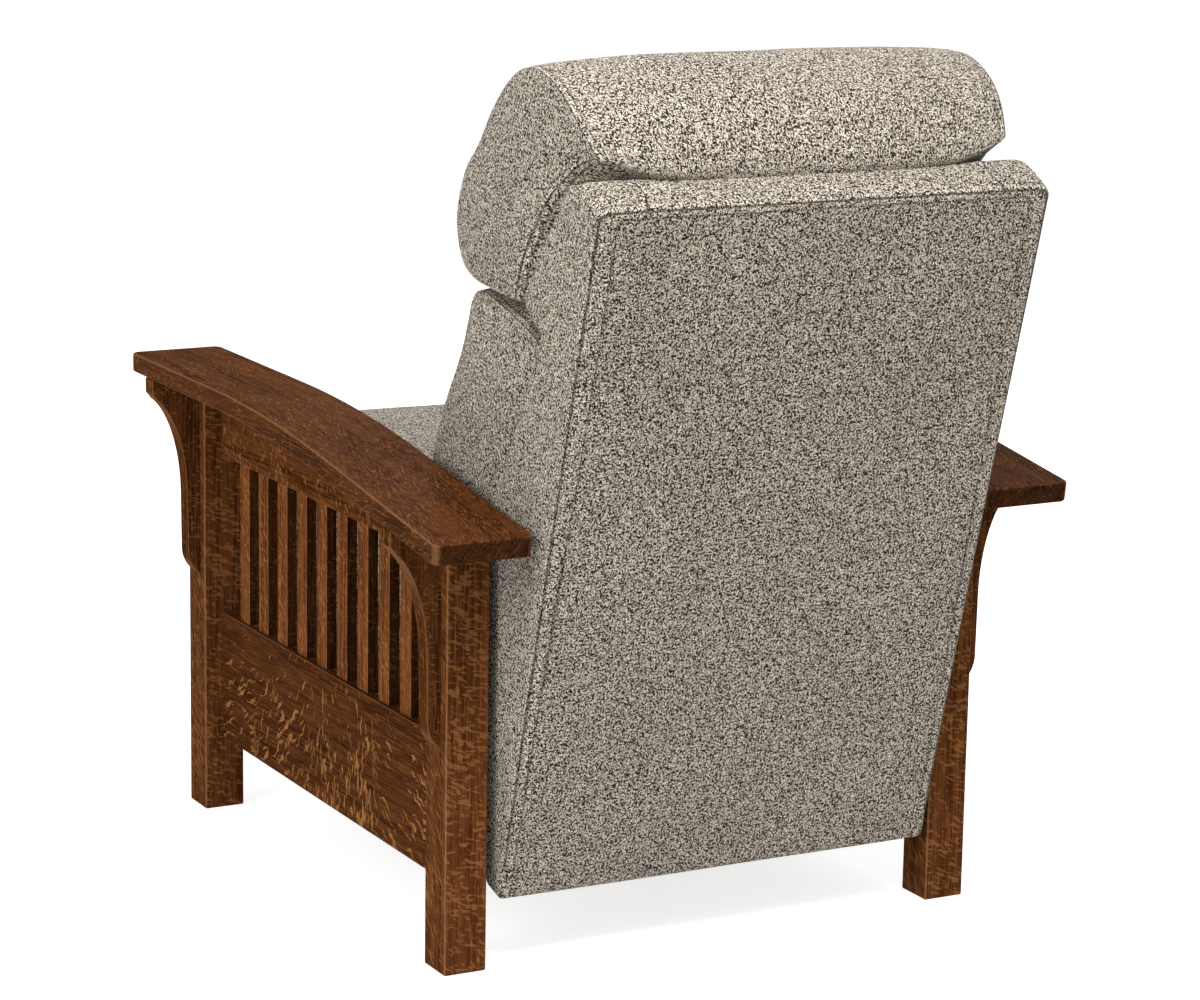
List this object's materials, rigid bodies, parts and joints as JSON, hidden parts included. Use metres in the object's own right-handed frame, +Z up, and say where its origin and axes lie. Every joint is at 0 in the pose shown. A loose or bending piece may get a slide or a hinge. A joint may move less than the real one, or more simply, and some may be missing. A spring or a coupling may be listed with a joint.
{
  "type": "mission reclining armchair",
  "caption": "Slat-sided oak armchair with sloping arms and corbels, a push-back reclining seat and back on steel links, and a footrest that folds out.",
  "frame": {"origin": "on the floor, under the middle of the chair's own box at rest", "axes": "+Z up, the sitter faces -Y, +X is the sitter's left; X = 0 is the chair's middle plane"},
  "size_m": [0.858, 1.0618, 1.0951],
  "materials": {
    "oak": "satin dark-stained quartersawn oak",
    "frame_wood": "plain sawn hardwood",
    "link_steel": "black enamel",
    "zinc_steel": "zinc plated",
    "spring_wire": "oiled wire",
    "tweed": "basket-weave tweed",
    "lining": "dark lining cloth"
  },
  "bodies": {
    "side_frames": {"left_front_post": "oak", "right_front_post": "oak", "left_rear_post": "oak", "right_rear_post": "oak", "left_bottom_rail": "oak", "right_bottom_rail": "oak", "left_top_rail": "oak", "right_top_rail": "oak", "left_slats": "oak", "right_slats": "oak", "left_arm": "oak", "right_arm": "oak", "left_corbels": "oak", "right_corbels": "oak", "front_stretcher": "frame_wood", "rear_stretcher": "frame_wood", "stretcher_brackets": "link_steel", "base_plates": "link_steel", "frame_screws": "zinc_steel", "carrier_foot_pins": "zinc_steel"},
    "front_carriers": {"front_carriers": "link_steel"},
    "rear_carriers": {"rear_carriers": "link_steel"},
    "seat": {"seat_plates": "link_steel", "seat_pivot_pins": "zinc_steel", "back_hinge_pins": "zinc_steel", "seat_bolts": "zinc_steel", "seat_plate_spacers": "zinc_steel", "seat_side_boards": "frame_wood", "seat_front_board": "frame_wood", "seat_rear_board": "frame_wood", "seat_borders": "tweed", "seat_springs": "spring_wire", "seat_spring_clips": "zinc_steel", "seat_deck": "lining", "seat_cushion": "tweed"},
    "drive_links": {"drive_links": "link_steel", "drive_link_pins": "zinc_steel"},
    "cross_links": {"cross_links": "link_steel", "cross_link_pins": "zinc_steel"},
    "lift_links": {"lift_links": "link_steel", "lift_link_pins": "zinc_steel"},
    "footrest": {"footrest_brackets": "link_steel", "footrest_board": "frame_wood", "footrest_screws": "zinc_steel", "footrest_pad": "tweed"},
    "back": {"back_side_boards": "frame_wood", "back_cross_rails": "frame_wood", "back_springs": "spring_wire", "back_spring_clips": "zinc_steel", "back_brackets": "link_steel", "back_bracket_bolts": "zinc_steel", "outside_back": "tweed", "back_side_bands": "tweed", "back_top_band": "tweed", "head_pillow": "tweed", "lumbar_cushion": "tweed", "inside_back": "lining"}
  },
  "joints": [
    {"name": "recline", "type": "hinge", "parent": "side_frames", "child": "front_carriers", "pos_m": [0, -0.24445, 0.18], "axis": [1, 0, 0], "range_deg": [0, 45]},
    {"name": "rear_carrier_swing", "type": "hinge", "parent": "side_frames", "child": "rear_carriers", "pos_m": [0, 0.05555, 0.18], "axis": [1, 0, 0], "range_deg": [0, 45]},
    {"name": "seat_glide", "type": "hinge", "parent": "front_carriers", "child": "seat", "pos_m": [0, -0.20642, 0.26157], "axis": [1, 0, 0], "range_deg": [-45, 0]},
    {"name": "back_tilt", "type": "hinge", "parent": "seat", "child": "back", "pos_m": [0, 0.23555, 0.33], "axis": [-1, 0, 0], "range_deg": [0, 30]},
    {"name": "footrest_open", "type": "hinge", "parent": "seat", "child": "drive_links", "pos_m": [0, -0.39945, 0.3], "axis": [-1, 0, 0], "range_deg": [0, 74]},
    {"name": "cross_link_swing", "type": "hinge", "parent": "drive_links", "child": "cross_links", "pos_m": [0, -0.40912, 0.20801], "axis": [1, 0, 0], "range_deg": [0, 148]},
    {"name": "lift_link_swing", "type": "hinge", "parent": "drive_links", "child": "lift_links", "pos_m": [0, -0.41879, 0.11601], "axis": [1, 0, 0], "range_deg": [0, 148]},
    {"name": "footrest_swing", "type": "hinge", "parent": "lift_links", "child": "footrest", "pos_m": [0, -0.42846, 0.20801], "axis": [-1, 0, 0], "range_deg": [0, 148]}
  ],
  "couplings": [
    {"joint": "rear_carrier_swing", "follows": "recline", "ratio": 1},
    {"joint": "seat_glide", "follows": "recline", "ratio": -1},
    {"joint": "back_tilt", "follows": "recline", "ratio": 0.66667},
    {"joint": "cross_link_swing", "follows": "footrest_open", "ratio": 2},
    {"joint": "lift_link_swing", "follows": "footrest_open", "ratio": 2},
    {"joint": "footrest_swing", "follows": "footrest_open", "ratio": 2}
  ]
}
